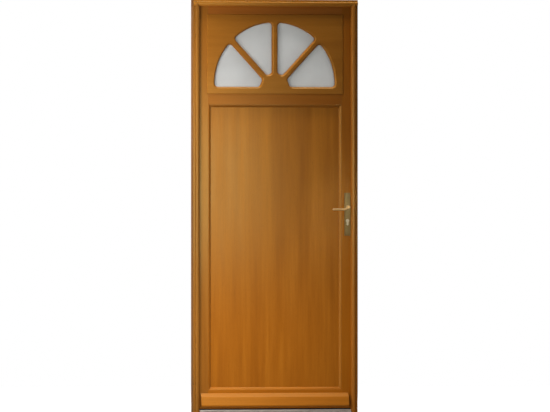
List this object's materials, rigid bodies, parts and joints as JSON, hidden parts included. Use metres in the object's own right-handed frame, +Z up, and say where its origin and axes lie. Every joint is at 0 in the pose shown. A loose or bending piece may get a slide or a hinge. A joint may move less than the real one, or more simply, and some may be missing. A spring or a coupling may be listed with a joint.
{
  "type": "glazed wooden door",
  "caption": "Wooden entrance door hung in its frame, with a glazed half-round fanlight above a tall sunk panel, a weatherboard, a lever handle set and a cylinder lock.",
  "frame": {"origin": "on the floor, under the middle of the frame's width and depth", "axes": "+X across the door towards the lock, +Y from outside to inside, +Z up"},
  "size_m": [0.869, 0.1506, 2.14],
  "materials": {
    "frame_wood": "satin stain, straight grain",
    "leaf_wood": "satin stain, straight grain",
    "panel_wood": "satin stain, grain upright",
    "glass": "frosted",
    "seal": "matt",
    "threshold": "satin anodised",
    "spacer": "satin",
    "steel": "zinc plated",
    "lever_brass": "satin, pale gold",
    "plate_bronze": "satin, bronze grey",
    "fittings_brass": "satin"
  },
  "bodies": {
    "frame": {"hinge_jamb": "frame_wood", "lock_jamb": "frame_wood", "frame_head": "frame_wood", "threshold": "threshold", "hinge_jamb_gasket": "seal", "lock_jamb_gasket": "seal", "head_gasket": "seal", "strike_plate": "steel", "strike_screws": "steel", "hinge_frame_half_bottom": "fittings_brass", "hinge_frame_half_middle": "fittings_brass", "hinge_frame_half_top": "fittings_brass", "hinge_pin_bottom": "steel", "hinge_pin_middle": "steel", "hinge_pin_top": "steel", "hinge_washers": "fittings_brass", "hinge_frame_screws": "fittings_brass"},
    "leaf": {"hinge_leaf_half_bottom": "fittings_brass", "hinge_leaf_half_middle": "fittings_brass", "hinge_leaf_half_top": "fittings_brass", "hinge_leaf_screws": "fittings_brass", "hinge_stile": "leaf_wood", "lock_stile": "leaf_wood", "top_rail": "leaf_wood", "middle_rail": "leaf_wood", "bottom_rail": "leaf_wood", "lower_panel": "panel_wood", "outer_bead_bottom": "leaf_wood", "outer_bead_top": "leaf_wood", "outer_bead_hinge": "leaf_wood", "outer_bead_lock": "leaf_wood", "inner_bead_bottom": "leaf_wood", "inner_bead_top": "leaf_wood", "inner_bead_hinge": "leaf_wood", "inner_bead_lock": "leaf_wood", "fan_panel_outer": "leaf_wood", "fan_panel_inner": "leaf_wood", "glass_outer": "glass", "glass_inner": "glass", "glazing_spacer": "spacer", "weatherboard": "leaf_wood", "bottom_sweep": "seal", "lock_case": "steel", "lock_faceplate": "fittings_brass", "faceplate_screws": "fittings_brass", "cylinder_housing": "fittings_brass", "cylinder_screw": "steel", "outer_backplate": "plate_bronze", "inner_backplate": "plate_bronze", "backplate_screws": "fittings_brass"},
    "lever": {"outer_lever": "lever_brass", "inner_lever": "lever_brass", "spindle": "steel", "lock_follower": "steel"},
    "latch": {"latch_bolt": "steel"},
    "plug": {"cylinder_plugs": "fittings_brass", "cylinder_cam": "steel"},
    "dead_bolt": {"dead_bolt": "steel"}
  },
  "joints": [
    {"name": "leaf_swing", "type": "hinge", "parent": "frame", "child": "leaf", "pos_m": [-0.4105, 0.041, 0], "axis": [0, 0, 1], "range_deg": [0, 120]},
    {"name": "lever_turn", "type": "hinge", "parent": "leaf", "child": "lever", "pos_m": [0.382, 0.0105, 1.067], "axis": [0, -1, 0], "range_deg": [0, 40], "stiffness_Nm_per_rad": 1.2, "springref_deg": -28.65},
    {"name": "latch_slide", "type": "slide", "parent": "leaf", "child": "latch", "axis": [-1, 0, 0], "range_m": [0, 0.011]},
    {"name": "plug_turn", "type": "hinge", "parent": "leaf", "child": "plug", "pos_m": [0.382, 0.0105, 0.997], "axis": [0, 1, 0], "range_deg": [0, 360]},
    {"name": "dead_bolt_slide", "type": "slide", "parent": "leaf", "child": "dead_bolt", "axis": [1, 0, 0], "range_m": [0, 0.02]}
  ],
  "couplings": [
    {"joint": "latch_slide", "follows": "lever_turn", "m_per_rad": 0.015756},
    {"joint": "plug_turn", "follows": "dead_bolt_slide", "rad_per_m": 314.16}
  ]
}
